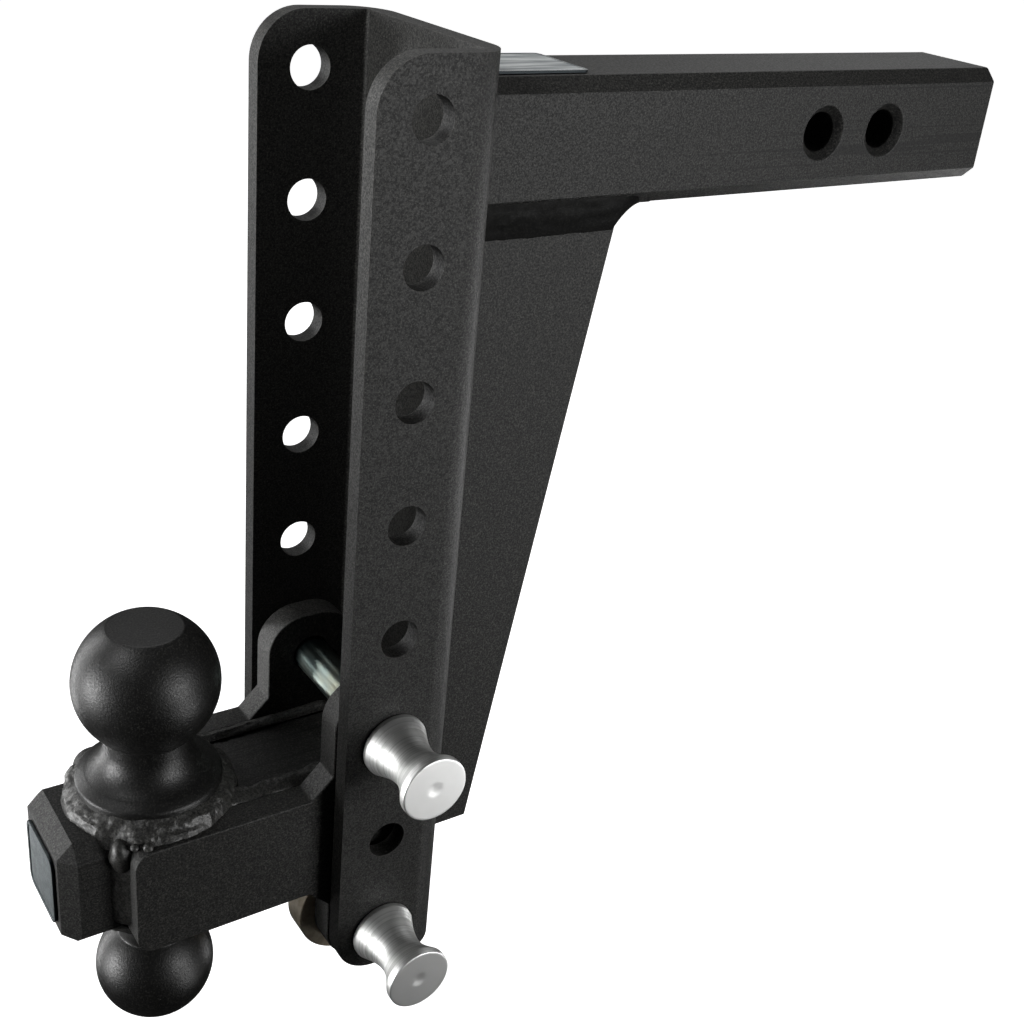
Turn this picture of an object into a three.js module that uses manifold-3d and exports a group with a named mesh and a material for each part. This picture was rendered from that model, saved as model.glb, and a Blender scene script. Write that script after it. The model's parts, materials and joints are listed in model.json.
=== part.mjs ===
// Adjustable drop hitch with a two-ball mount, in millimetres, +Z up.
//
// The origin is the centre of the shank's free end face, where it enters the receiver tube.
// +X points out of that face, toward the vehicle. The balls are at -X. Y is the pins' direction:
// the pins go in from the -Y side, so the knobs are at -Y and the spring clips are at +Y.

import * as THREE from 'three';
import { mergeVertices } from 'three/addons/utils/BufferGeometryUtils.js';
import Module from 'manifold-3d';

const wasm = await Module();
wasm.setup();

// ---------------------------------------------------------------- driving dimensions

const gap = 0.3;               // between pieces that touch on the real object

// square bar stock, used for the shank and for the ball block
const barSize = 50.8;

// shank
const shankLength = 288;
const shankChamfer = 5.5;
const shankEndChamfer = 2.5;
const receiverPinRadius = 8.4;
const countersinkRadius = 11.8;
const receiverPinX = [-70.5, -108.5];

// channel
const channelWidth = 100;
const channelDepth = 53.5;
const channelWall = 8;
const channelBend = 16;        // outer radius of the two bends
const channelInnerBend = 1.5;
const channelCorner = 20;      // radius of the flanges' free corners
const holePitch = 50.8;
const holeCount = 8;
const holeRadius = 8.4;
const holeInset = 21.7;        // from the flanges' free edge
const firstHoleZ = 17.5;
const topEdge = 21.5;          // from the first hole up to the channel's end
const bottomEdge = 19.5;       // from the last hole down to the channel's end

// gusset behind the channel
const gussetThickness = 38.1;
const gussetTopLength = 77.8;
const gussetFootLength = 29.5;
const gussetDrop = 293.6;

// ball mount
const upperPinHole = 5;
const lowerPinHole = 7;
const blockChamfer = 6.5;
const blockReach = 109.5;      // in front of the channel's free edge
const blockTail = 38;          // behind the channel's free edge
const blockSag = 2.4;          // the block's middle lies this far under the pins' middle
const cheekThickness = 12.7;
const cheekReach = 84.6;
const cheekSetback = 0.9;      // the ears' front edge, behind the channel's free edge
const cheekStep = 9.3;         // the 45 degree step from the arm to the ears
const cheekCorner = 17;
const cheekArmCorner = 7.5;
const earReach = 20.6;         // from the pins' axes to the ears' ends

// balls, by their standard coupler sizes. rise is from the block's face to the ball's centre
const topBall = { radius: 58.74 / 2, flat: 15, neck: 18, foot: 29.7, footHeight: 9.2, rise: 53.8 };
const bottomBall = { radius: 50.8 / 2, flat: 9.5, neck: 15.5, foot: 24.5, footHeight: 6.5, rise: 43.2 };
const ballReach = 64.3;        // from the channel's free edge to the balls' axis
const ballSeat = gap + 0.2;    // from the block's face to the ball's foot and its weld

// pins, knobs and spring clips
const pinRadius = 15.875 / 2;
const pinTipY = 68;
const clipY = 60;
const clipWireRadius = 1.8;
const clipHoleRadius = 2.2;
const knobRadius = 14.4;
const knobLength = 34;
const knobWaist = 9.8;
const stubRadius = 5;
const stubLength = 16;

// ---------------------------------------------------------------- places worked out from them

const webBackX = -shankLength;
const flangeEdgeX = webBackX - channelDepth;
const webFrontX = webBackX - channelWall;
const pinX = flangeEdgeX + holeInset;
const holeZ = (index) => firstHoleZ - index * holePitch;
const channelTopZ = holeZ(0) + topEdge;
const channelBottomZ = holeZ(holeCount - 1) - bottomEdge;
const upperPinZ = holeZ(upperPinHole);
const lowerPinZ = holeZ(lowerPinHole);
const blockZ = (upperPinZ + lowerPinZ) / 2 - blockSag;
const blockTopZ = blockZ + barSize / 2;
const blockBottomZ = blockZ - barSize / 2;
const ballX = flangeEdgeX - ballReach;
const cheekInnerY = barSize / 2 + gap;
const cheekOuterY = cheekInnerY + cheekThickness;
const cheekFrontX = flangeEdgeX - cheekReach;
const earFrontX = flangeEdgeX + cheekSetback;
const earBackX = 2 * pinX - earFrontX;

// ---------------------------------------------------------------- materials

const powderCoat = () => new THREE.MeshStandardMaterial({ color: 0x1f1f20, roughness: 0.62, metalness: 0.1 });
const ballCoat = () => new THREE.MeshStandardMaterial({ color: 0x1a1a1b, roughness: 0.46, metalness: 0.1 });
const weldCoat = () => new THREE.MeshStandardMaterial({ color: 0x29292a, roughness: 0.5, metalness: 0.15 });
const zincSteel = () => new THREE.MeshStandardMaterial({ color: 0x9fa79d, roughness: 0.28, metalness: 1 });
const bareSteel = () => new THREE.MeshStandardMaterial({ color: 0x4a4138, roughness: 0.55, metalness: 0.9 });
const turnedAluminium = () => new THREE.MeshStandardMaterial({ color: 0xdcdcda, roughness: 0.25, metalness: 1 });
const plateMetal = () => new THREE.MeshStandardMaterial({ color: 0x66727a, roughness: 0.4, metalness: 0.9 });

// ---------------------------------------------------------------- tools for shaping

// A closed geometry as a manifold solid: shared vertices merged, triangles with no area dropped.
function solid(geometry) {
  geometry.deleteAttribute('normal');
  geometry.deleteAttribute('uv');
  const merged = mergeVertices(geometry, 1e-4);
  const index = merged.index.array;
  const kept = [];
  for (let i = 0; i < index.length; i += 3) {
    const [a, b, c] = [index[i], index[i + 1], index[i + 2]];
    if (a !== b && b !== c && c !== a) kept.push(a, b, c);
  }
  return new wasm.Manifold(new wasm.Mesh({
    numProp: 3,
    vertProperties: new Float32Array(merged.attributes.position.array),
    triVerts: new Uint32Array(kept),
  }));
}

function geometryOf(manifold) {
  const result = manifold.getMesh();
  const geometry = new THREE.BufferGeometry();
  geometry.setAttribute('position', new THREE.BufferAttribute(result.vertProperties, 3));
  geometry.setIndex(new THREE.BufferAttribute(result.triVerts, 1));
  geometry.computeVertexNormals();
  return geometry;
}

// Frames that turn an extrusion, drawn in x and y and pushed along z, into the part's planes.
const X = new THREE.Vector3(1, 0, 0);
const Y = new THREE.Vector3(0, 1, 0);
const Z = new THREE.Vector3(0, 0, 1);
const sidePlane = new THREE.Matrix4().makeBasis(X, Z, Y.clone().negate());
const endPlane = new THREE.Matrix4().makeBasis(Y, Z, X);

// How finely an outline's arcs are divided. A whole arc gets twice this many points.
const curveSegments = 3;

function plan(shape, z0, z1) {
  const geometry = new THREE.ExtrudeGeometry(shape, { depth: z1 - z0, bevelEnabled: false, curveSegments });
  return solid(geometry.translate(0, 0, z0));
}

function sideView(shape, y0, y1) {
  const geometry = new THREE.ExtrudeGeometry(shape, { depth: y1 - y0, bevelEnabled: false, curveSegments });
  return solid(geometry.applyMatrix4(sidePlane).translate(0, y1, 0));
}

function endView(shape, x0, x1) {
  const geometry = new THREE.ExtrudeGeometry(shape, { depth: x1 - x0, bevelEnabled: false, curveSegments });
  return solid(geometry.applyMatrix4(endPlane).translate(x0, 0, 0));
}

function polygon(points) {
  return new THREE.Shape(points.map(([x, y]) => new THREE.Vector2(x, y)));
}

// A cylinder along Y, or a cone where the two ends differ.
function roundAlongY(x, z, y0, y1, radius0, radius1 = radius0, sides = 24) {
  const geometry = new THREE.CylinderGeometry(radius1, radius0, y1 - y0, sides);
  return solid(geometry.translate(x, (y0 + y1) / 2, z));
}

// A turned piece: the profile runs upward, as [radius, height] pairs, round the Y axis.
function turned(profile, sides) {
  const points = profile.map(([radius, height]) => new THREE.Vector2(radius, height));
  return new THREE.LatheGeometry(points, sides);
}

const turnedUpright = (profile, sides) => turned(profile, sides).rotateX(Math.PI / 2);

// Points of an arc as [x, y] pairs, angles in degrees, both ends included.
function arc(centreX, centreY, radius, from, to, steps) {
  return Array.from({ length: steps + 1 }, (_, i) => {
    const angle = THREE.MathUtils.degToRad(from + (to - from) * i / steps);
    return [centreX + radius * Math.cos(angle), centreY + radius * Math.sin(angle)];
  });
}

// The bar's section: a square with its long edges chamfered.
function barSection(size, chamfer, centreZ) {
  const half = size / 2;
  const flat = half - chamfer;
  return polygon([
    [flat, -half], [half, -flat], [half, flat], [flat, half],
    [-flat, half], [-half, flat], [-half, -flat], [-flat, -half],
  ].map(([y, z]) => [y, z + centreZ]));
}

function bar(chamfer, endChamfer, centreZ, x0, x1) {
  const geometry = new THREE.ExtrudeGeometry(barSection(barSize, chamfer, centreZ), {
    depth: x1 - x0 - 2 * endChamfer,
    bevelEnabled: true,
    bevelThickness: endChamfer,
    bevelSize: endChamfer,
    bevelOffset: -endChamfer,
    bevelSegments: 1,
  });
  return solid(geometry.applyMatrix4(endPlane).translate(x0 + endChamfer, 0, 0));
}

const hitch = new THREE.Group();

function add(name, manifold, material) {
  const mesh = new THREE.Mesh(geometryOf(manifold), material);
  mesh.name = name;
  hitch.add(mesh);
}

// ---------------------------------------------------------------- shank

function shank() {
  let body = bar(shankChamfer, shankEndChamfer, 0, webBackX + gap, 0);
  const face = barSize / 2;
  const sink = countersinkRadius - receiverPinRadius;
  for (const x of receiverPinX) {
    body = body.subtract(roundAlongY(x, 0, -face - 1, face + 1, receiverPinRadius));
    body = body.subtract(roundAlongY(x, 0, -face - 1, -face + sink, countersinkRadius + 1, receiverPinRadius));
    body = body.subtract(roundAlongY(x, 0, face - sink, face + 1, receiverPinRadius, countersinkRadius + 1));
  }
  return body;
}

function roundedPlate(width, height, radius, centreY, centreZ) {
  const shape = new THREE.Shape();
  const [w, h] = [width / 2 - radius, height / 2 - radius];
  shape.absarc(centreY + w, centreZ - h, radius, -Math.PI / 2, 0);
  shape.absarc(centreY + w, centreZ + h, radius, 0, Math.PI / 2);
  shape.absarc(centreY - w, centreZ + h, radius, Math.PI / 2, Math.PI);
  shape.absarc(centreY - w, centreZ - h, radius, Math.PI, 1.5 * Math.PI);
  return shape;
}

const nameplateLength = 47;
const nameplateWidth = 36;
const nameplateThickness = 1;
const nameplateX = webBackX + 32;

function shankNameplate() {
  const z = barSize / 2 + gap;
  const outline = roundedPlate(nameplateLength, nameplateWidth, 2.5, nameplateX, 0);
  return plan(outline, z, z + nameplateThickness);
}

// ---------------------------------------------------------------- channel

function channel() {
  const half = channelWidth / 2;
  const [outer, inner] = [channelBend, channelInnerBend];
  const innerY = half - channelWall;
  const section = new THREE.Shape();
  section.absarc(webBackX - outer, -half + outer, outer, -Math.PI / 2, 0);
  section.absarc(webBackX - outer, half - outer, outer, 0, Math.PI / 2);
  section.lineTo(flangeEdgeX, half);
  section.lineTo(flangeEdgeX, innerY);
  section.absarc(webFrontX - inner, innerY - inner, inner, Math.PI / 2, 0, true);
  section.absarc(webFrontX - inner, -innerY + inner, inner, 0, -Math.PI / 2, true);
  section.lineTo(flangeEdgeX, -innerY);
  section.lineTo(flangeEdgeX, -half);
  const profile = plan(section, channelBottomZ, channelTopZ);

  const outline = new THREE.Shape();
  const cornerX = flangeEdgeX + channelCorner;
  outline.moveTo(webBackX + 1, channelBottomZ);
  outline.lineTo(webBackX + 1, channelTopZ);
  outline.absarc(cornerX, channelTopZ - channelCorner, channelCorner, Math.PI / 2, Math.PI);
  outline.absarc(cornerX, channelBottomZ + channelCorner, channelCorner, Math.PI, 1.5 * Math.PI);
  let body = profile.intersect(sideView(outline, -half - 1, half + 1));

  for (let index = 0; index < holeCount; index += 1) {
    body = body.subtract(roundAlongY(pinX, holeZ(index), -half - 1, half + 1, holeRadius));
  }
  return body;
}

// ---------------------------------------------------------------- gusset and its welds

const gussetTopZ = -barSize / 2 - gap;
const gussetFrontX = webBackX + gap;
const gussetHeelX = webBackX + gussetTopLength;
const gussetFootX = webBackX + gussetFootLength;
const gussetFootZ = gussetTopZ - gussetDrop;

function gusset() {
  const outline = polygon([
    [gussetFrontX, gussetFootZ], [gussetFootX, gussetFootZ],
    [gussetHeelX, gussetTopZ], [gussetFrontX, gussetTopZ],
  ]);
  return sideView(outline, -gussetThickness / 2, gussetThickness / 2);
}

const underWeldDrop = 11.5;    // down the gusset's side and its heel
const heelWeldToe = 15;        // along the shank's underside, past the heel
const webWeldLeg = 6.5;

// The hollow curve from the fillet's toe on the shank down to the gusset's heel.
function heelCurve() {
  const lean = (gussetHeelX - gussetFootX) / gussetDrop;
  return [
    [gussetHeelX + heelWeldToe, gussetTopZ],
    [gussetHeelX + 0.5 * heelWeldToe, gussetTopZ - 0.22 * underWeldDrop],
    [gussetHeelX + 0.2 * heelWeldToe, gussetTopZ - 0.5 * underWeldDrop],
    [gussetHeelX + gap - lean * underWeldDrop, gussetTopZ - underWeldDrop],
  ];
}

// A fillet under the shank, along one side of the gusset and out along the heel's fillet. It also
// fills the shank's chamfer.
function weldShankGusset(side) {
  const root = gussetThickness / 2 + gap;
  const edge = barSize / 2;
  const under = gussetTopZ - 0.1;
  const section = polygon([
    [root, under], [edge - shankChamfer + 0.1, under], [edge - 0.8, under + shankChamfer - 0.8],
    [root + 4.6, under - 0.3 * underWeldDrop], [root + 2.4, under - 0.7 * underWeldDrop],
    [root, under - underWeldDrop],
  ].map(([across, up]) => [across * side, up]));
  const start = webBackX + webWeldLeg + 1;
  const run = endView(section, start, gussetHeelX + heelWeldToe);
  const outline = polygon([
    [start - 1, gussetTopZ + barSize], [gussetHeelX + heelWeldToe, gussetTopZ + barSize],
    ...heelCurve(), [start - 1, gussetTopZ - underWeldDrop - 1],
  ]);
  return run.intersect(sideView(outline, -barSize, barSize));
}

// The hollow fillet that closes the gusset's heel against the shank's underside.
function weldGussetHeel() {
  const outline = polygon([[gussetHeelX + gap, gussetTopZ], ...heelCurve()]);
  return sideView(outline, -gussetThickness / 2, gussetThickness / 2);
}

// A fillet up one side of the gusset, against the web's back.
function weldChannelGusset(side) {
  const y = gussetThickness / 2 + gap;
  const x = webBackX + gap;
  const leg = webWeldLeg;
  const section = polygon([
    [x, y * side], [x + leg, y * side], [x + 0.65 * leg, (y + 0.45 * leg) * side],
    [x + 0.25 * leg, (y + 0.85 * leg) * side], [x, (y + leg) * side],
  ]);
  return plan(section, gussetFootZ + 2, gussetTopZ - underWeldDrop - 1);
}

// The fillet round the shank where it meets the web: along both sides and over the top.
function weldShankChannel() {
  const half = barSize / 2 + gap;
  const chamfer = shankChamfer;
  const leg = webWeldLeg;
  const ring = (grow) => polygon([
    [half + grow, -half + chamfer], [half + grow, half - chamfer], [half - chamfer + 0.4 * grow, half + grow],
    [-half + chamfer - 0.4 * grow, half + grow], [-half - grow, half - chamfer], [-half - grow, -half + chamfer],
  ]);
  const x = webBackX + gap;
  const wide = endView(ring(leg), x, x + 0.35 * leg);
  const middle = endView(ring(0.6 * leg), x, x + 0.65 * leg);
  const narrow = endView(ring(0.28 * leg), x, x + leg);
  const stock = endView(barSection(barSize + 2 * gap, chamfer, 0), x - 1, x + leg + 1);
  const [low, cut] = [-barSize, -half + chamfer];
  const below = endView(polygon([[low, low], [-low, low], [-low, cut], [low, cut]]), x - 1, x + leg + 1);
  return wide.add(middle).add(narrow).subtract(stock).subtract(below);
}

// ---------------------------------------------------------------- ball block, cheeks and their welds

const ballBlock = () => bar(blockChamfer, blockChamfer, blockZ, flangeEdgeX - blockReach, flangeEdgeX + blockTail);

const frontPlateSize = 33;
const frontPlateThickness = 1.2;

function frontPlate() {
  const x = flangeEdgeX - blockReach - gap;
  return endView(roundedPlate(frontPlateSize, frontPlateSize, 5, 0, blockZ), x - frontPlateThickness, x);
}

function cheek(side) {
  const shape = new THREE.Shape();
  const ear = cheekCorner;
  const arm = cheekArmCorner;
  const top = upperPinZ + earReach;
  const bottom = lowerPinZ - earReach;
  shape.absarc(cheekFrontX + arm, blockTopZ - arm, arm, Math.PI / 2, Math.PI);
  shape.absarc(cheekFrontX + arm, blockBottomZ + arm, arm, Math.PI, 1.5 * Math.PI);
  shape.lineTo(earFrontX - cheekStep, blockBottomZ);
  shape.lineTo(earFrontX, blockBottomZ - cheekStep);
  shape.absarc(earFrontX + ear, bottom + ear, ear, Math.PI, 1.5 * Math.PI);
  shape.absarc(earBackX - ear, bottom + ear, ear, -Math.PI / 2, 0);
  shape.absarc(earBackX - ear, top - ear, ear, 0, Math.PI / 2);
  shape.absarc(earFrontX + ear, top - ear, ear, Math.PI / 2, Math.PI);
  shape.lineTo(earFrontX, blockTopZ + cheekStep);
  shape.lineTo(earFrontX - cheekStep, blockTopZ);
  const inner = side > 0 ? cheekInnerY : -cheekOuterY;
  let body = sideView(shape, inner, inner + cheekThickness);
  for (const z of [upperPinZ, lowerPinZ]) {
    body = body.subtract(roundAlongY(pinX, z, inner - 1, inner + cheekThickness + 1, holeRadius));
  }
  return body;
}

// A bead in the groove between the block's chamfered edge and a cheek, above (up = 1) or below.
function weldCheekGroove(side, up) {
  const edge = barSize / 2;
  const flat = edge - blockChamfer;
  const face = blockZ + up * edge;
  const section = polygon([
    [side * (flat + 0.6), face - up * 0.1],
    [side * (edge - 0.1), face - up * 0.1],
    [side * (edge - 0.1), face - up * (blockChamfer - 0.6)],
  ]);
  return endView(section, cheekFrontX + 2, flangeEdgeX + blockTail - blockChamfer - 1);
}

// The upright fillet between the block's side and a cheek's front edge.
function weldCheekFront(side) {
  const y = barSize / 2 + gap;
  const x = cheekFrontX - gap;
  const leg = 7.5;
  const section = polygon([
    [x, side * y], [x, side * (y + leg)], [x - 0.3 * leg, side * (y + 0.8 * leg)],
    [x - 0.75 * leg, side * (y + 0.4 * leg)], [x - leg, side * y],
  ]);
  const reach = barSize / 2 - blockChamfer - 1;
  return plan(section, blockZ - reach, blockZ + reach);
}

// ---------------------------------------------------------------- spacer on the lower pin

const spacerRadius = 25.4;
const spacerWaist = 19;
const spacerBore = 12.7;
const spacerRim = 13;
const spacerSlope = 2;
const spacerX = pinX - 2.2;    // it hangs a little off the pin's axis, in its wide bore
const spacerZ = lowerPinZ - 2.9;

// A turned spool between the cheeks, under the block. Its bore is wider than the pin.
function pinSpacer() {
  const end = cheekInnerY - gap;
  const inner = end - spacerRim;
  const hollow = inner - spacerSlope;
  const profile = [
    [spacerBore, -end], [spacerRadius, -end], [spacerRadius, -inner], [spacerWaist, -hollow],
    [spacerWaist, hollow], [spacerRadius, inner], [spacerRadius, end], [spacerBore, end], [spacerBore, -end],
  ];
  return solid(turned(profile, 32)).translate(spacerX, 0, spacerZ);
}

// ---------------------------------------------------------------- balls

const ballSides = 36;

// Half of a ball's outline from where it leaves the neck to its flat, as [radius, height] pairs.
function sphereArc(radius, neck, flat, steps) {
  const from = -THREE.MathUtils.radToDeg(Math.acos(neck / radius));
  const to = THREE.MathUtils.radToDeg(Math.acos(flat / radius));
  return arc(0, 0, radius, from, to, steps);
}

// A ball on a neck that flares out to a round foot. Heights are from the ball's centre.
function ballOnFoot({ radius, flat, neck, foot, footHeight, rise }) {
  const base = ballSeat - rise;
  const edge = 0.8;
  const lean = 245;            // where the neck's hollow curve starts, in degrees
  const fillet = 1.07 * (foot - neck) + 2;
  const start = base + footHeight + 2.7 - fillet * Math.sin(THREE.MathUtils.degToRad(lean));
  const hollow = arc(neck + fillet, start, fillet, lean, 180, 4);
  const sphere = sphereArc(radius, neck + 0.4, flat, 14);
  return [[0, base], [foot, base], [foot, base + footHeight - edge], [foot - edge, base + footHeight],
    ...hollow, ...sphere, [0, sphere[sphere.length - 1][1]]];
}

function ballTop() {
  const upright = solid(turnedUpright(ballOnFoot(topBall), ballSides));
  return upright.translate(ballX, 0, blockTopZ + topBall.rise);
}

function ballBottom() {
  const upright = solid(turnedUpright(ballOnFoot(bottomBall), ballSides));
  return upright.rotate([180, 0, 0]).translate(ballX, 0, blockBottomZ - bottomBall.rise);
}

// The bead round a ball's foot. Its lower face lies on the block and the cheeks.
function weldBall(foot, width, height) {
  const inner = foot + gap;
  const base = ballSeat;
  const profile = [
    [inner, base], [inner + width, base], [inner + 0.85 * width, base + 0.45 * height],
    [inner + 0.45 * width, base + 0.85 * height], [inner, base + height], [inner, base],
  ];
  return solid(turnedUpright(profile, ballSides));
}

const weldBallTop = () => weldBall(topBall.foot, 6, 7.5).translate(ballX, 0, blockTopZ);

const weldBallBottom = () => weldBall(bottomBall.foot, 5, 5).rotate([180, 0, 0]).translate(ballX, 0, blockBottomZ);

// ---------------------------------------------------------------- pins, knobs and spring clips

const knobBackY = -channelWidth / 2 - gap;

function pin(z) {
  const tip = 1.5;
  const shoulder = knobBackY + gap;
  const profile = [
    [0, knobBackY - stubLength], [stubRadius, knobBackY - stubLength], [stubRadius, shoulder],
    [pinRadius, shoulder], [pinRadius, pinTipY - tip], [pinRadius - tip, pinTipY], [0, pinTipY],
  ];
  const crossHole = new THREE.CylinderGeometry(clipHoleRadius, clipHoleRadius, 4 * pinRadius, 10);
  const drill = solid(crossHole.rotateX(Math.PI / 2).translate(0, clipY, 0));
  return solid(turned(profile, 20)).subtract(drill).translate(pinX, 0, z);
}

// A turned spool: a thin back rim, a hollow waist and a thicker front rim with a broken edge.
function knob(z) {
  const [backRim, frontRim, edge] = [2.4, 3.4, 0.7];
  const waist = new THREE.SplineCurve([
    new THREE.Vector2(knobRadius, backRim),
    new THREE.Vector2(0.45 * knobRadius + 0.55 * knobWaist, 0.28 * knobLength),
    new THREE.Vector2(knobWaist, 0.56 * knobLength),
    new THREE.Vector2(0.5 * knobRadius + 0.5 * knobWaist, 0.78 * knobLength),
    new THREE.Vector2(knobRadius, knobLength - frontRim),
  ]).getPoints(8).map((point) => [point.x, point.y]);
  const boreRadius = stubRadius + gap;
  const boreDepth = stubLength + gap;
  const profile = [
    [0, boreDepth], [boreRadius, boreDepth], [boreRadius, 0], [knobRadius - edge, 0], [knobRadius, edge],
    ...waist, [knobRadius, knobLength - edge], [knobRadius - edge, knobLength], [0, knobLength],
  ];
  return solid(turned(profile, 28)).rotate([180, 0, 0]).translate(pinX, knobBackY, z);
}

// A spring clip: its straight leg goes down through the pin's cross hole, then the wire turns in
// an eye above the pin, and the bowed leg hugs the pin's side.
function clip(z) {
  const hug = pinRadius + clipWireRadius + gap;
  const bow = arc(0, 0, hug + 0.3, 50, -50, 4);
  const route = [
    [0, -20], [0, -6], [0, 8], [-0.6, 19], [-1.6, 27], [4.5, 34], [11.5, 29], [9.4, 20], [5.6, 13],
    ...bow, [8.6, -13.5], [13, -18],
  ].map(([x, up]) => new THREE.Vector3(x, clipY, up));
  const section = new THREE.Shape();
  section.absarc(0, 0, clipWireRadius, 0, 2 * Math.PI);
  const geometry = new THREE.ExtrudeGeometry(section, {
    extrudePath: new THREE.CatmullRomCurve3(route, false, 'centripetal'),
    steps: 36,
    curveSegments,
  });
  return solid(geometry).translate(pinX, 0, z);
}

// ---------------------------------------------------------------- the assembly

add('shank', shank(), powderCoat());
add('shank_nameplate', shankNameplate(), plateMetal());
add('channel', channel(), powderCoat());
add('gusset', gusset(), powderCoat());
add('weld_shank_channel', weldShankChannel(), weldCoat());
add('weld_gusset_heel', weldGussetHeel(), weldCoat());
add('ball_block', ballBlock(), powderCoat());
add('front_plate', frontPlate(), plateMetal());
add('pin_spacer', pinSpacer(), bareSteel());
add('ball_top', ballTop(), ballCoat());
add('ball_bottom', ballBottom(), ballCoat());
add('weld_ball_top', weldBallTop(), weldCoat());
add('weld_ball_bottom', weldBallBottom(), weldCoat());

for (const [where, side] of [['near', -1], ['far', 1]]) {
  add(`cheek_${where}`, cheek(side), powderCoat());
  add(`weld_shank_gusset_${where}`, weldShankGusset(side), weldCoat());
  add(`weld_channel_gusset_${where}`, weldChannelGusset(side), weldCoat());
  add(`weld_cheek_top_${where}`, weldCheekGroove(side, 1), weldCoat());
  add(`weld_cheek_bottom_${where}`, weldCheekGroove(side, -1), weldCoat());
  add(`weld_cheek_front_${where}`, weldCheekFront(side), weldCoat());
}

for (const [where, z] of [['upper', upperPinZ], ['lower', lowerPinZ]]) {
  add(`pin_${where}`, pin(z), zincSteel());
  add(`knob_${where}`, knob(z), turnedAluminium());
  add(`clip_${where}`, clip(z), zincSteel());
}

export default hitch;
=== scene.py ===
import json
import math

import bmesh
import bpy
from mathutils import Matrix, Vector, noise


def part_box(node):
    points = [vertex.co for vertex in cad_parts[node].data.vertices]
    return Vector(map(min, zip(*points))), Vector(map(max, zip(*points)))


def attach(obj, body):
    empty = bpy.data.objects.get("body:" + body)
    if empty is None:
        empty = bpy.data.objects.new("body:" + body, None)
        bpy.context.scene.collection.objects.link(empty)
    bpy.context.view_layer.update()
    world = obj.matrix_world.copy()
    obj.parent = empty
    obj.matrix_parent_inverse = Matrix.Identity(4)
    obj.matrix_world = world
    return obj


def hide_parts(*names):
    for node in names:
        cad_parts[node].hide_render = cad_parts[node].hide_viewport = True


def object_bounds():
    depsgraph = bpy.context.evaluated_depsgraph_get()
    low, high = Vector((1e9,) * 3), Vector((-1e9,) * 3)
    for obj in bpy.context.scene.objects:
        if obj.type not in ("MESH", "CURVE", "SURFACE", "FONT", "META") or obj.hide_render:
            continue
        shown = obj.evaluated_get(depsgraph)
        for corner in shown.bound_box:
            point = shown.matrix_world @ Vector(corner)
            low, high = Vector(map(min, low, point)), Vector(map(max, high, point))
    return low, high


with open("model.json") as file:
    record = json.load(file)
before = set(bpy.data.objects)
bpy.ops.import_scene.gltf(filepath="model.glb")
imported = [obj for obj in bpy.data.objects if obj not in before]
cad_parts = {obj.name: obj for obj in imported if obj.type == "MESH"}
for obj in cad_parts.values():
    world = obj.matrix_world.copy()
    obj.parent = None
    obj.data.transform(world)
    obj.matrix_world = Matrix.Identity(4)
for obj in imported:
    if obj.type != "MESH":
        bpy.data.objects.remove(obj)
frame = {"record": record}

cad_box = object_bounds()

X = Vector((1, 0, 0))
Y = Vector((0, 1, 0))
Z = Vector((0, 0, 1))
MM = 0.001


# ---------------------------------------------------------------- places, from the frame

class Box:
    """A CAD node's box at rest."""

    def __init__(self, node):
        self.lo, self.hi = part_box(node)
        self.centre = (self.lo + self.hi) / 2
        self.size = self.hi - self.lo


record = frame["record"]
body_of = {node: body for body, nodes in record["behaviour"]["bodies"].items() for node in nodes}
slot_of = {entry["node"]: entry["material_slot"] for entry in record["subparts"]}
openings = {entry["name"]: entry["box_m"] for entry in record["physics"]["openings"]}


def opening_centre(name):
    lo, hi = openings[name]
    return (Vector(lo) + Vector(hi)) / 2


shank = Box("shank")
channel = Box("channel")
gusset = Box("gusset")
block = Box("ball_block")
cheek = {"near": Box("cheek_near"), "far": Box("cheek_far")}
pin = {"upper": Box("pin_upper"), "lower": Box("pin_lower")}
ball_x = Box("ball_top").centre.x
pin_x = pin["upper"].centre.x
pin_z = [pin["upper"].centre.z, pin["lower"].centre.z]
open_hole_z = [opening_centre(name).z for name in openings if name.endswith("_near")]
receiver_hole_x = [opening_centre(name).x for name in openings if name.startswith("receiver")]

GAP = 0.3 * MM
HOLE_RADIUS = 8.4 * MM
COUNTERSINK_RADIUS = 11.8 * MM
BAR_CHAMFER = 5.5 * MM
BAR_END_CHAMFER = 2.5 * MM
BLOCK_CHAMFER = 6.5 * MM
WALL = 8 * MM
BEND_RADIUS = 16 * MM
INNER_BEND_RADIUS = 1.5 * MM
CHANNEL_CORNER = 20 * MM
GUSSET_FOOT_LENGTH = 29.5 * MM
CHEEK_STEP = 9.3 * MM
CHEEK_EAR_CORNER = 17 * MM
CHEEK_ARM_CORNER = 7.5 * MM
ROUND_STEPS = 96
HOLE_STEPS = 64
FINE_ROUND_STEPS = 128


# ---------------------------------------------------------------- materials

def node_material(name):
    material = bpy.data.materials.new(name)
    material.use_nodes = True
    tree = material.node_tree
    return material, tree, tree.nodes["Principled BSDF"]


def object_coordinates(tree, stretch=(1, 1, 1)):
    """Object coordinates in metres, scaled by stretch."""
    coordinates = tree.nodes.new("ShaderNodeTexCoord")
    mapping = tree.nodes.new("ShaderNodeMapping")
    mapping.inputs["Scale"].default_value = stretch
    tree.links.new(coordinates.outputs["Object"], mapping.inputs["Vector"])
    return mapping.outputs["Vector"]


def grain(tree, vector, scale, detail=2.0, roughness=0.5):
    """A noise texture. Scale is in features per metre."""
    texture = tree.nodes.new("ShaderNodeTexNoise")
    texture.inputs["Scale"].default_value = scale
    texture.inputs["Detail"].default_value = detail
    texture.inputs["Roughness"].default_value = roughness
    tree.links.new(vector, texture.inputs["Vector"])
    return texture.outputs["Fac"]


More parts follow.
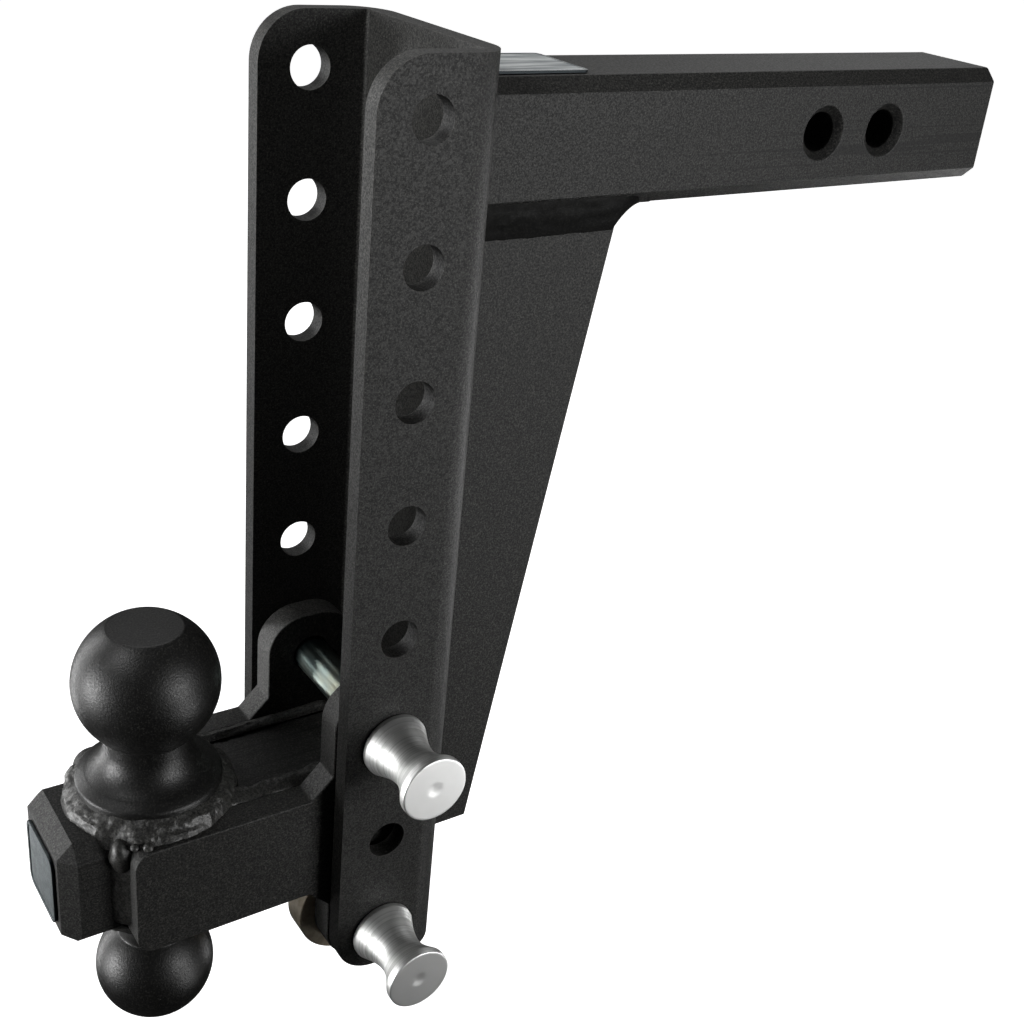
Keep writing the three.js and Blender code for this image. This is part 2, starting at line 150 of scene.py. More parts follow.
def ramp(tree, source, stops):
    """A colour ramp from (place, grey or colour) stops."""
    node = tree.nodes.new("ShaderNodeValToRGB")
    elements = node.color_ramp.elements
    while len(elements) < len(stops):
        elements.new(0.5)
    for element, (place, colour) in zip(elements, stops):
        element.position = place
        rgb = colour if isinstance(colour, tuple) else (colour,) * 3
        element.color = (*rgb, 1)
    tree.links.new(source, node.inputs["Fac"])
    return node.outputs["Color"]


def spread(tree, source, low, high, source_low=0.3, source_high=0.7):
    """The source, mapped from its usual range to low..high."""
    node = tree.nodes.new("ShaderNodeMapRange")
    node.inputs["From Min"].default_value = source_low
    node.inputs["From Max"].default_value = source_high
    node.inputs["To Min"].default_value = low
    node.inputs["To Max"].default_value = high
    tree.links.new(source, node.inputs["Value"])
    return node.outputs["Result"]


def mixed(tree, factor, first, second):
    node = tree.nodes.new("ShaderNodeMix")
    node.data_type = "RGBA"
    for socket, value in ((node.inputs[6], first), (node.inputs[7], second)):
        if isinstance(value, tuple):
            socket.default_value = (*value, 1)
        else:
            tree.links.new(value, socket)
    tree.links.new(factor, node.inputs[0])
    return node.outputs[2]


def bumped(tree, shader, heights, strength):
    """Chains bump nodes, one for each (height, depth in metres)."""
    normal = None
    for height, depth in heights:
        bump = tree.nodes.new("ShaderNodeBump")
        bump.inputs["Strength"].default_value = strength
        bump.inputs["Distance"].default_value = depth
        tree.links.new(height, bump.inputs["Height"])
        if normal:
            tree.links.new(normal, bump.inputs["Normal"])
        normal = bump.outputs["Normal"]
    tree.links.new(normal, shader.inputs["Normal"])


SPECK_COLOUR = (0.085, 0.083, 0.075)
EDGE_HIGHLIGHT_AND_RUB_COLOUR = (0.075, 0.073, 0.07)
PAINTED_SHADE_COLOUR = (0.02, 0.025, 0.028)


def edge_mask(tree, radius):
    """1 on edges, 0 on flats: how far the rounded normal leans from the true one."""
    bevel = tree.nodes.new("ShaderNodeBevel")
    bevel.samples = 4
    bevel.inputs["Radius"].default_value = radius
    geometry = tree.nodes.new("ShaderNodeNewGeometry")
    dot = tree.nodes.new("ShaderNodeVectorMath")
    dot.operation = "DOT_PRODUCT"
    tree.links.new(bevel.outputs["Normal"], dot.inputs[0])
    tree.links.new(geometry.outputs["True Normal"], dot.inputs[1])
    return spread(tree, dot.outputs["Value"], 1, 0, 0.8, 0.99)


def coated(name, dark, light, rough, fine_depth, edge_highlight_and_wear, speck=0.5, shine=0.5, drawn=0.0):
    """Fine-textured powder coat: grain, pale specks, orange peel, and edges painted paler, a painted
    edge highlight along with light rubbing.

    dark and light are the grain's greys, edge_highlight_and_wear is how pale the edges are painted, as
    highlight and rubbing, and speck how pale the specks are. drawn is how strongly the bar stock's long
    mill lines show through.
    """
    material, tree, shader = node_material(name)
    place = object_coordinates(tree)
    fine = grain(tree, place, 1150, 2, 0.6)
    specks = grain(tree, place, 1500, 1)
    peel = grain(tree, place, 420, 2)
    broad = grain(tree, place, 9, 2)
    body = ramp(tree, fine, ((0.42, dark), (0.60, (light, light, 0.92 * light))))
    speckled = mixed(tree, spread(tree, specks, 0, speck, 0.54, 0.68), body, SPECK_COLOUR)
    mill_lines = grain(tree, object_coordinates(tree, (0.012, 1, 1)), 420, 2)
    lined = mixed(tree, spread(tree, mill_lines, 0, drawn, 0.62, 0.66), speckled, (dark, dark, dark))
    clouded = mixed(tree, spread(tree, broad, 0, 0.12), lined, (dark, dark, dark))
    # painted edge highlight: the edges are painted paler, along with light rubbing
    edge_highlight_and_rub = spread(tree, edge_mask(tree, 0.9 * MM), 0, edge_highlight_and_wear, 0, 1)
    edge_highlit_coat = mixed(tree, edge_highlight_and_rub, clouded, EDGE_HIGHLIGHT_AND_RUB_COLOUR)
    tree.links.new(edge_highlit_coat, shader.inputs["Base Color"])
    tree.links.new(spread(tree, fine, rough + 0.08, rough - 0.08), shader.inputs["Roughness"])
    shader.inputs["Specular IOR Level"].default_value = shine
    bumped(tree, shader, ((peel, 0.04 * MM), (fine, fine_depth)), 0.6)
    return material


def zinc():
    """Bright zinc plating with a green and yellow bloom and fine lines along the bar."""
    material, tree, shader = node_material("zinc_steel_look")
    place = object_coordinates(tree)
    along = object_coordinates(tree, (1, 0.03, 1))
    bloom = grain(tree, place, 50, 2)
    lines = grain(tree, along, 900, 2)
    teal, grey, straw = (0.14, 0.21, 0.22), (0.21, 0.25, 0.23), (0.28, 0.26, 0.17)
    tint = ramp(tree, bloom, ((0.3, teal), (0.5, grey), (0.72, straw)))
    tree.links.new(tint, shader.inputs["Base Color"])
    shader.inputs["Metallic"].default_value = 1
    tree.links.new(spread(tree, lines, 0.28, 0.40), shader.inputs["Roughness"])
    bumped(tree, shader, ((lines, 0.008 * MM),), 0.4)
    return material


def turned_aluminium():
    """Turned aluminium: tool marks ring the knobs' axis, and are fainter on the front faces."""
    material, tree, shader = node_material("turned_aluminium_look")
    coordinates = tree.nodes.new("ShaderNodeTexCoord")
    split = tree.nodes.new("ShaderNodeSeparateXYZ")
    tree.links.new(coordinates.outputs["Object"], split.inputs["Vector"])

    def math_node(operation, first, second=None):
        node = tree.nodes.new("ShaderNodeMath")
        node.operation = operation
        for socket, value in zip(node.inputs, (first, second)):
            if isinstance(value, (int, float)):
                socket.default_value = value
            elif value is not None:
                tree.links.new(value, socket)
        return node.outputs["Value"]

    across = math_node("SUBTRACT", split.outputs["X"], pin_x)
    upper = math_node("SUBTRACT", split.outputs["Z"], pin_z[0])
    lower = math_node("SUBTRACT", split.outputs["Z"], pin_z[1])
    up = math_node("MINIMUM", math_node("ABSOLUTE", upper), math_node("ABSOLUTE", lower))
    squares = math_node("ADD", math_node("MULTIPLY", across, across), math_node("MULTIPLY", up, up))
    radius = math_node("SQRT", squares)
    joined = tree.nodes.new("ShaderNodeCombineXYZ")
    tree.links.new(radius, joined.inputs["X"])
    tree.links.new(split.outputs["Y"], joined.inputs["Y"])
    knob_front = Box("knob_upper").lo.y
    off_the_face = spread(tree, split.outputs["Y"], 0.15, 1, knob_front + 0.5 * MM, knob_front + 2 * MM)
    rings = math_node("MULTIPLY", grain(tree, joined.outputs["Vector"], 900, 4, 0.7), off_the_face)
    smears = grain(tree, coordinates.outputs["Object"], 90, 3)
    bright, groove, smear = (0.84, 0.84, 0.83), (0.52, 0.53, 0.51), (0.74, 0.75, 0.74)
    shade = mixed(tree, spread(tree, rings, 0, 1, 0.4, 0.65), bright, groove)
    smeared = mixed(tree, spread(tree, smears, 0, 0.35), shade, smear)
    tree.links.new(smeared, shader.inputs["Base Color"])
    shader.inputs["Metallic"].default_value = 1
    tree.links.new(spread(tree, rings, 0.46, 0.60), shader.inputs["Roughness"])
    bumped(tree, shader, ((rings, 0.05 * MM),), 0.6)
    return material


def bare_steel():
    """Bare turned steel gone brown, blotched with darker oxide."""
    material, tree, shader = node_material("bare_steel_look")
    place = object_coordinates(tree)
    rings = grain(tree, object_coordinates(tree, (0.05, 1, 0.05)), 1500, 2)
    blotches = grain(tree, place, 130, 4, 0.65)
    oxide, brown, metal = (0.32, 0.26, 0.18), (0.50, 0.44, 0.34), (0.60, 0.55, 0.45)
    tint = ramp(tree, blotches, ((0.3, oxide), (0.55, brown), (0.75, metal)))
    tree.links.new(tint, shader.inputs["Base Color"])
    shader.inputs["Metallic"].default_value = 0.4
    tree.links.new(spread(tree, blotches, 0.62, 0.42), shader.inputs["Roughness"])
    bumped(tree, shader, ((blotches, 0.05 * MM), (rings, 0.03 * MM)), 0.6)
    return material


def plate_metal(name, low, high):
    """Blue-grey brushed plate with streaks along its length, with painted shade darkening its rim and
    its near side.
    """
    material, tree, shader = node_material(name)
    fine_streaks = grain(tree, object_coordinates(tree, (0.04, 1, 1)), 1900, 3)
    wide_streaks = grain(tree, object_coordinates(tree, (0.12, 1, 1)), 260, 3)
    tint = ramp(tree, wide_streaks, ((0.38, low), (0.60, high)))
    # painted shade: the rim is painted dark, as the shade of its bevel
    rim = spread(tree, edge_mask(tree, 2.4 * MM), 0, 0.95, 0, 1)
    rim_shaded = mixed(tree, rim, tint, PAINTED_SHADE_COLOUR)
    geometry = tree.nodes.new("ShaderNodeNewGeometry")
    split = tree.nodes.new("ShaderNodeSeparateXYZ")
    tree.links.new(geometry.outputs["True Normal"], split.inputs["Vector"])
    # painted shade: the side facing -Y is painted dark
    painted_near_side_shade = spread(tree, split.outputs["Y"], 1, 0, -0.6, -0.3)
    near_side_shaded = mixed(tree, painted_near_side_shade, rim_shaded, PAINTED_SHADE_COLOUR)
    tree.links.new(near_side_shaded, shader.inputs["Base Color"])
    shader.inputs["Metallic"].default_value = 0.8
    tree.links.new(spread(tree, fine_streaks, 0.42, 0.58), shader.inputs["Roughness"])
    bumped(tree, shader, ((fine_streaks, 0.01 * MM),), 0.5)
    return material


materials = {
    "powder_coat": coated("powder_coat_look", 0.001, 0.019, 0.60, 0.12 * MM, 0.25, shine=0.42),
    "ball_coat": coated("ball_coat_look", 0.001, 0.005, 0.45, 0.22 * MM, 0.10, speck=0.24, shine=0.42),
    # weld coat painted darker than the powder coat round it: painted shade on the welds under the shank
    # and gusset
    "weld_coat": coated("weld_coat_shaded_look", 0.001, 0.008, 0.45, 0.08 * MM, 0.05, speck=0.15, shine=0.5),
    "zinc_steel": zinc(),
    "bare_steel": bare_steel(),
    "turned_aluminium": turned_aluminium(),
    "plate_metal": plate_metal("nameplate_metal_look", (0.26, 0.28, 0.29), (0.62, 0.64, 0.64)),
}
bar_coat = coated("bar_coat_look", 0.001, 0.019, 0.60, 0.12 * MM, 0.25, shine=0.42, drawn=0.7)
# a copy of the weld coat painted paler, a painted highlight on the welds round the balls and on the
# cheeks, besides its coarser grain and bump
coarse_lit_weld_coat = coated("coarse_lit_weld_look", 0.003, 0.040, 0.46, 0.25 * MM, 0.1, speck=0.7, shine=0.6)
# the front plate's copy of the plate metal, painted far darker than the nameplate's: painted shade
front_plate_shaded_metal = plate_metal("front_plate_shaded_look", (0.060, 0.072, 0.076), (0.10, 0.115, 0.12))


# ---------------------------------------------------------------- tools for shaping

def mesh_object(name, bm):
    bmesh.ops.recalc_face_normals(bm, faces=bm.faces)
    mesh = bpy.data.meshes.new(name)
    bm.to_mesh(mesh)
    bm.free()
    piece = bpy.data.objects.new(name, mesh)
    bpy.context.collection.objects.link(piece)
    return piece


def apply_modifiers(piece):
    graph = bpy.context.evaluated_depsgraph_get()
    mesh = bpy.data.meshes.new_from_object(piece.evaluated_get(graph))
    piece.modifiers.clear()
    piece.data = mesh


def smooth(piece, sharp_degrees=40):
    mesh = piece.data
    mesh.polygons.foreach_set("use_smooth", [True] * len(mesh.polygons))
    mesh.set_sharp_from_angle(angle=math.radians(sharp_degrees))


def stand_for(piece, node, material=None):
    """The piece takes the node's place: its body, and the material given, or else the material of the
    node's slot.
    """
    piece.data.materials.clear()
    piece.data.materials.append(material or materials[slot_of[node]])
    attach(piece, body_of[node])
    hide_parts(node)


def arc(centre_x, centre_y, radius, start, end, steps=16):
    """Points of an arc, angles in degrees, both ends included."""
    angles = [math.radians(start + (end - start) * i / steps) for i in range(steps + 1)]
    return [(centre_x + radius * math.cos(a), centre_y + radius * math.sin(a)) for a in angles]


def prism(name, outline, place, lo, hi):
    """An outline pushed from lo to hi. place(u, v, w) gives the point in space."""
    bm = bmesh.new()
    ends = [[bm.verts.new(place(u, v, w)) for u, v in outline] for w in (lo, hi)]
    bm.faces.new(ends[0])
    bm.faces.new(reversed(ends[1]))
    count = len(outline)
    for i in range(count):
        j = (i + 1) % count
        bm.faces.new((ends[0][i], ends[0][j], ends[1][j], ends[1][i]))
    return mesh_object(name, bm)


def side_view(u, v, w):
    return Vector((u, w, v))


def end_view(u, v, w):
    return Vector((w, u, v))


def plan_view(u, v, w):
    return Vector((u, v, w))


def revolved(bm, profile, origin, axis, steps=ROUND_STEPS):
    """A profile of (radius, height) pairs turned round an axis.

    It starts and ends on the axis, or meets itself.
    """
    aside = axis.orthogonal().normalized()
    beside = axis.cross(aside)
    closed = profile[0] == profile[-1]
    points = profile[:-1] if closed else profile
    angles = [2 * math.pi * i / steps for i in range(steps)]
    spokes = [aside * math.cos(a) + beside * math.sin(a) for a in angles]
    rings = []
    for radius, height in points:
        centre = origin + axis * height
        if radius == 0:
            rings.append([bm.verts.new(centre)] * steps)
            continue
        rings.append([bm.verts.new(centre + spoke * radius) for spoke in spokes])
    pairs = list(zip(rings, rings[1:])) + ([(rings[-1], rings[0])] if closed else [])
    for first, second in pairs:
        for i in range(steps):
            j = (i + 1) % steps
            corners = dict.fromkeys((first[i], first[j], second[j], second[i]))
            if len(corners) > 2:
                bm.faces.new(tuple(corners))


def turned(name, profile, origin, axis, steps=ROUND_STEPS):
    bm = bmesh.new()
    revolved(bm, profile, origin, axis, steps)
    return mesh_object(name, bm)


def eased(profile, radius, steps=4):
    """The profile with its sharp corners rounded off."""
    closed = profile[0] == profile[-1]
    points = [Vector(point) for point in (profile[:-1] if closed else profile)]
    count = len(points)
    result = []
    for i, corner in enumerate(points):
        if not closed and i in (0, count - 1):
            result.append(tuple(corner))
            continue
        before, after = points[i - 1], points[(i + 1) % count]
        back, onward = before - corner, after - corner
        if (-back).angle(onward) < math.radians(25):
            result.append(tuple(corner))
            continue
        start = corner + back.normalized() * min(radius, 0.45 * back.length)
        end = corner + onward.normalized() * min(radius, 0.45 * onward.length)
        for k in range(steps + 1):
            t = k / steps
            result.append(tuple(start * (1 - t) ** 2 + corner * 2 * t * (1 - t) + end * t ** 2))
    return result + ([result[0]] if closed else [])


def cut(piece, cutter, operation="DIFFERENCE"):
    modifier = piece.modifiers.new("cut", "BOOLEAN")
    modifier.operation = operation
    modifier.solver = "EXACT"
    modifier.object = cutter
    apply_modifiers(piece)
    bpy.data.objects.remove(cutter)


def rounded_edges(piece, width, segments=3):
    """Rounds off the hard edges and keeps the flats' shading flat."""
    smooth(piece)
    modifier = piece.modifiers.new("edges", "BEVEL")
    modifier.width = width
    modifier.segments = segments
    modifier.limit_method = "ANGLE"
    modifier.angle_limit = math.radians(25)
    modifier.harden_normals = True
    modifier.use_clamp_overlap = True
    apply_modifiers(piece)


def drill(places, radius, lo, hi):
    """One cutter with a drill for each (x, z), along Y."""
    bm = bmesh.new()
    profile = [(0, lo), (radius, lo), (radius, hi), (0, hi)]
    for x, z in places:
        revolved(bm, profile, Vector((x, 0, z)), Y, HOLE_STEPS)
    return mesh_object("drill", bm)


# ---------------------------------------------------------------- bars and plates

def bar(name, box, chamfer, end_chamfer):
    """Square bar with its long edges and its end edges chamfered."""
    half = box.size.z / 2

    def ring(shrink):
        side = half - shrink
        flat = half - chamfer
        return [
            (flat, -side), (side, -flat), (side, flat), (flat, side),
            (-flat, side), (-side, flat), (-side, -flat), (-flat, -side),
        ]

    bm = bmesh.new()
    stations = (
        (box.lo.x, end_chamfer), (box.lo.x + end_chamfer, 0),
        (box.hi.x - end_chamfer, 0), (box.hi.x, end_chamfer),
    )
    most = 0.98 * chamfer  # the end's corners keep a little length
    rings = [
        [bm.verts.new((x, y, z + box.centre.z)) for y, z in ring(min(shrink, most))]
        for x, shrink in stations
    ]
    bm.faces.new(rings[0])
    bm.faces.new(reversed(rings[-1]))
    for first, second in zip(rings, rings[1:]):
        for i in range(8):
            j = (i + 1) % 8
            bm.faces.new((first[i], first[j], second[j], second[i]))
    return mesh_object(name, bm)


def make_shank():
    piece = bar("shank_bar", shank, BAR_CHAMFER, BAR_END_CHAMFER)
    half = shank.size.y / 2
    sink = COUNTERSINK_RADIUS - HOLE_RADIUS
    over = 1 * MM
    profile = [
        (0, -half - over), (COUNTERSINK_RADIUS + over, -half - over), (HOLE_RADIUS, -half + sink),
        (HOLE_RADIUS, half - sink), (COUNTERSINK_RADIUS + over, half + over), (0, half + over),
    ]
    for x in receiver_hole_x:
        cut(piece, turned("countersink", profile, Vector((x, 0, 0)), Y, HOLE_STEPS))
    rounded_edges(piece, 0.5 * MM)
    stand_for(piece, "shank", bar_coat)


def make_block():
    piece = bar("ball_block_bar", block, BLOCK_CHAMFER, BLOCK_CHAMFER)
    rounded_edges(piece, 0.6 * MM)
    stand_for(piece, "ball_block", bar_coat)


def channel_section():
    """The bent U in plan, open toward -X."""
    back = channel.hi.x
    edge = channel.lo.x
    half = channel.size.y / 2
    inner = half - WALL
    web_front = back - WALL
    turn = half - BEND_RADIUS
    nook = inner - INNER_BEND_RADIUS
    outline = arc(back - BEND_RADIUS, -turn, BEND_RADIUS, -90, 0, 20)
    outline += arc(back - BEND_RADIUS, turn, BEND_RADIUS, 0, 90, 20)
    outline += [(edge, half), (edge, inner)]
    outline += arc(web_front - INNER_BEND_RADIUS, nook, INNER_BEND_RADIUS, 90, 0, 5)
    outline += arc(web_front - INNER_BEND_RADIUS, -nook, INNER_BEND_RADIUS, 0, -90, 5)
    outline += [(edge, -inner), (edge, -half)]
    return outline


def make_channel():
    piece = prism("channel_plate", channel_section(), plan_view, channel.lo.z, channel.hi.z)
    over = 5 * MM
    corner_x = channel.lo.x + CHANNEL_CORNER
    side = [(channel.hi.x + over, channel.lo.z), (channel.hi.x + over, channel.hi.z)]
    side += arc(corner_x, channel.hi.z - CHANNEL_CORNER, CHANNEL_CORNER, 90, 180, 20)
    side += arc(corner_x, channel.lo.z + CHANNEL_CORNER, CHANNEL_CORNER, 180, 270, 20)
    half = channel.size.y / 2 + over
    cut(piece, prism("corners", side, side_view, -half, half), "INTERSECT")
    places = [(pin_x, z) for z in open_hole_z + pin_z]
    cut(piece, drill(places, HOLE_RADIUS, -half, half))
    rounded_edges(piece, 0.45 * MM)
    stand_for(piece, "channel")


def make_gusset():
    outline = [
        (gusset.lo.x, gusset.lo.z), (gusset.lo.x + GUSSET_FOOT_LENGTH, gusset.lo.z),
        (gusset.hi.x, gusset.hi.z), (gusset.lo.x, gusset.hi.z),
    ]
    piece = prism("gusset_bar", outline, side_view, gusset.lo.y, gusset.hi.y)
    rounded_edges(piece, 0.8 * MM)
    stand_for(piece, "gusset")


def make_cheek(where):
    box = cheek[where]
    ear_front = 2 * pin_x - box.hi.x
    ear, arm = CHEEK_EAR_CORNER, CHEEK_ARM_CORNER
    top, bottom = block.hi.z, block.lo.z
    outline = arc(box.lo.x + arm, top - arm, arm, 90, 180)
    outline += arc(box.lo.x + arm, bottom + arm, arm, 180, 270)
    outline += [(ear_front - CHEEK_STEP, bottom), (ear_front, bottom - CHEEK_STEP)]
    outline += arc(ear_front + ear, box.lo.z + ear, ear, 180, 270)
    outline += arc(box.hi.x - ear, box.lo.z + ear, ear, -90, 0)
    outline += arc(box.hi.x - ear, box.hi.z - ear, ear, 0, 90)
    outline += arc(ear_front + ear, box.hi.z - ear, ear, 90, 180)
    outline += [(ear_front, top + CHEEK_STEP), (ear_front - CHEEK_STEP, top)]
    piece = prism(f"cheek_{where}_plate", outline, side_view, box.lo.y, box.hi.y)
    over = 1 * MM
    places = [(pin_x, z) for z in pin_z]
    cut(piece, drill(places, HOLE_RADIUS, box.lo.y - over, box.hi.y + over))
    rounded_edges(piece, 0.7 * MM)
    stand_for(piece, f"cheek_{where}")


def rounded_rectangle(half_u, half_v, radius, centre_u, centre_v):
    u, v = half_u - radius, half_v - radius
    outline = arc(centre_u + u, centre_v - v, radius, -90, 0, 8)
    outline += arc(centre_u + u, centre_v + v, radius, 0, 90, 8)
    outline += arc(centre_u - u, centre_v + v, radius, 90, 180, 8)
    outline += arc(centre_u - u, centre_v - v, radius, 180, 270, 8)
    return outline


def make_plate(node, outline, place, back, front, rim, depth, material):
    """A blank plate with a raised rim round a slightly sunk field. outline(inset) gives its outline."""
    piece = prism(f"{node}_plate", outline(0), place, back, front)
    sign = 1 if front > back else -1
    cut(piece, prism("field", outline(rim), place, front - sign * depth, front + sign * depth))
    rounded_edges(piece, depth / 2, 2)
    stand_for(piece, node, material)


def make_nameplate():
    box = Box("shank_nameplate")

    def outline(inset):
        half = box.size / 2
        return rounded_rectangle(half.x - inset, half.y - inset, 2.5 * MM - inset / 2, box.centre.x, 0)

    make_plate(
        "shank_nameplate", outline, plan_view, box.lo.z, box.hi.z,
        rim=1.2 * MM, depth=0.12 * MM, material=materials["plate_metal"],
    )


def make_front_plate():
    box = Box("front_plate")

    def outline(inset):
        half = box.size / 2
        return rounded_rectangle(half.y - inset, half.z - inset, 5 * MM - inset, 0, box.centre.z)

    make_plate(
        "front_plate", outline, end_view, box.hi.x, box.lo.x,
        rim=1.8 * MM, depth=0.4 * MM, material=front_plate_shaded_metal,
    )


# ---------------------------------------------------------------- turned pieces

def ball_profile(radius, flat, neck, foot, foot_height, base):
    """A flat-topped ball on a neck that flares to a round foot. Heights are from the ball's centre."""
    lip = 2.7 * MM
    flare = 1.07 * (foot - neck) + 2 * MM
    flare_end = 245
    rise = -flare * math.sin(math.radians(flare_end))
    hollow = arc(neck + flare, base + foot_height + lip + rise, flare, flare_end, 180, 24)
    low = -math.degrees(math.acos(neck / radius))
    high = math.degrees(math.acos(flat / radius))
    sphere = arc(0, 0, radius, low, high, 56)
    profile = [(0, base), (foot, base), (foot, base + foot_height), *hollow, *sphere, (0, sphere[-1][1])]
    return eased(profile, 0.9 * MM)


TOP_BALL = {
    "radius": 58.74 / 2 * MM, "flat": 15 * MM, "neck": 18 * MM,
    "foot": 29.7 * MM, "foot_height": 9.2 * MM,
}
BOTTOM_BALL = {
    "radius": 50.8 / 2 * MM, "flat": 9.5 * MM, "neck": 15.5 * MM,
    "foot": 24.5 * MM, "foot_height": 6.5 * MM,
}


def make_ball(node, shape, axis):
    box = Box(node)
    flat_end = box.hi.z if axis.z > 0 else box.lo.z
    foot_end = box.lo.z if axis.z > 0 else box.hi.z
    to_flat = math.sqrt(shape["radius"] ** 2 - shape["flat"] ** 2)
    centre = Vector((ball_x, 0, flat_end - axis.z * to_flat))
    base = -abs(foot_end - centre.z)
    piece = turned(f"{node}_forging", ball_profile(**shape, base=base), centre, axis, FINE_ROUND_STEPS)
    smooth(piece, 50)
    stand_for(piece, node)


def make_spacer():
    box = Box("pin_spacer")
    rim = 13 * MM
    waist, bore = 19 * MM, 12.7 * MM
    radius = box.size.z / 2
    end = box.size.y / 2
    inner = end - rim
    slope = 2 * MM
    profile = [
        (bore, -end), (radius, -end), (radius, -inner), (waist, -inner + slope),
        (waist, inner - slope), (radius, inner), (radius, end), (bore, end), (bore, -end),
    ]
    piece = turned("pin_spacer_spool", eased(profile, 0.8 * MM), box.centre, Y)
    smooth(piece)
    stand_for(piece, "pin_spacer")


PIN_RADIUS = 15.875 / 2 * MM
STUB_RADIUS = 5 * MM
STUB_LENGTH = 16 * MM
CLIP_WIRE_RADIUS = 1.8 * MM
CLIP_HOLE_RADIUS = 2.2 * MM


def make_pin(where):
    box = pin[where]
    centre = Vector((pin_x, 0, box.centre.z))
    shoulder = box.lo.y + STUB_LENGTH + GAP
    tip = 1.5 * MM
    profile = [
        (0, box.lo.y), (STUB_RADIUS, box.lo.y), (STUB_RADIUS, shoulder), (PIN_RADIUS, shoulder),
        (PIN_RADIUS, box.hi.y - tip), (PIN_RADIUS - tip, box.hi.y), (0, box.hi.y),
    ]
    piece = turned(f"pin_{where}_rod", eased(profile, 0.4 * MM), centre, Y)
    clip_y = Box(f"clip_{where}").centre.y
    reach = 2 * PIN_RADIUS
    ends = [(0, -reach), (CLIP_HOLE_RADIUS, -reach), (CLIP_HOLE_RADIUS, reach), (0, reach)]
    cut(piece, turned("cross_hole", ends, centre + Y * clip_y, Z, 32))
    smooth(piece)
    stand_for(piece, f"pin_{where}")


def make_knob(where):
    """A turned spool: thin back rim, hollow waist, thicker front rim with a centre mark in its face."""
    box = Box(f"knob_{where}")
    radius = box.size.z / 2
    length = box.size.y
    waist = 9.8 * MM
    back_rim, front_rim = 2.4 * MM, 3.4 * MM
    bore, depth = STUB_RADIUS + GAP, STUB_LENGTH + GAP
    deepest = 0.56  # where the waist is narrowest, as a share of the hollow's length
    hollow = []
    steps = 28
    span = length - front_rim - back_rim
    for i in range(steps + 1):
        t = i / steps
        near = t / deepest if t < deepest else (1 - t) / (1 - deepest)
        dip = math.sin(near * math.pi / 2)
        hollow.append((radius - (radius - waist) * dip, back_rim + span * t))
    flat = radius - 1.2 * MM
    dimple, dimple_depth = 2.2 * MM, 0.3 * MM
    profile = [(0, depth), (bore, depth), (bore, 0), (radius, 0), *hollow, (radius, length)]
    profile += [(flat, length), (2 * dimple, length), (dimple, length), (0, length - dimple_depth)]
    origin = Vector((pin_x, box.hi.y, box.centre.z))
    piece = turned(f"knob_{where}_spool", eased(profile, 0.7 * MM, 6), origin, -Y, FINE_ROUND_STEPS)
    smooth(piece, 20)
    stand_for(piece, f"knob_{where}")


def make_clip(where):
    """A spring clip: straight leg through the pin, an eye above it, and a bowed leg round its side."""
    box = Box(f"clip_{where}")
    z = pin[where].centre.z
    hug = PIN_RADIUS + CLIP_WIRE_RADIUS + GAP
    clear = 0.3 * MM
    bow = arc(0, 0, hug + clear, 50, -50, 4)
    straight_leg = [(0, -20), (0, -6), (0, 8), (-0.6, 19)]
    eye = [(-1.6, 27), (4.5, 34), (11.5, 29), (9.4, 20), (5.6, 13)]
    tail = [(8.6, -13.5), (13, -18)]
    route = [(x * MM, up * MM) for x, up in straight_leg + eye]
    route += bow + [(x * MM, up * MM) for x, up in tail]
    data = bpy.data.curves.new(f"clip_{where}_wire", "CURVE")
    data.dimensions = "3D"
    data.bevel_depth = CLIP_WIRE_RADIUS
    data.bevel_resolution = 5
    data.resolution_u = 8
    data.use_fill_caps = True
    spline = data.splines.new("BEZIER")
    spline.bezier_points.add(len(route) - 1)
    for point, (x, up) in zip(spline.bezier_points, route):
        point.co = (pin_x + x, box.centre.y, z + up)
        point.handle_left_type = "AUTO"
        point.handle_right_type = "AUTO"
    wire = bpy.data.objects.new(f"clip_{where}_wire", data)
    bpy.context.collection.objects.link(wire)
    graph = bpy.context.evaluated_depsgraph_get()
    mesh = bpy.data.meshes.new_from_object(wire.evaluated_get(graph))
    piece = bpy.data.objects.new(f"clip_{where}_spring", mesh)
    bpy.data.objects.remove(wire)
    bpy.context.collection.objects.link(piece)
    smooth(piece, 50)
    stand_for(piece, f"clip_{where}")


# ---------------------------------------------------------------- weld beads

WELD_STEP = 0.45 * MM
WELD_FACE_STEPS = 12
WELD_SINK = 0.5 * MM
WELD_SMOOTH_DEGREES = 70
# noise as (size, how often to the metre); a streak also drifts by its third number across the face
WELD_BLOBS = ((0.5, 170), (0.5, 380), (0.3, 750))
WELD_STREAKS = ((1, 60, 4), (0.5, 120, 11))
WELD_WANDERS = (150, 50)


def line(start, end):
    count = max(4, round((end - start).length / WELD_STEP))
    return [start.lerp(end, i / count) for i in range(count + 1)]


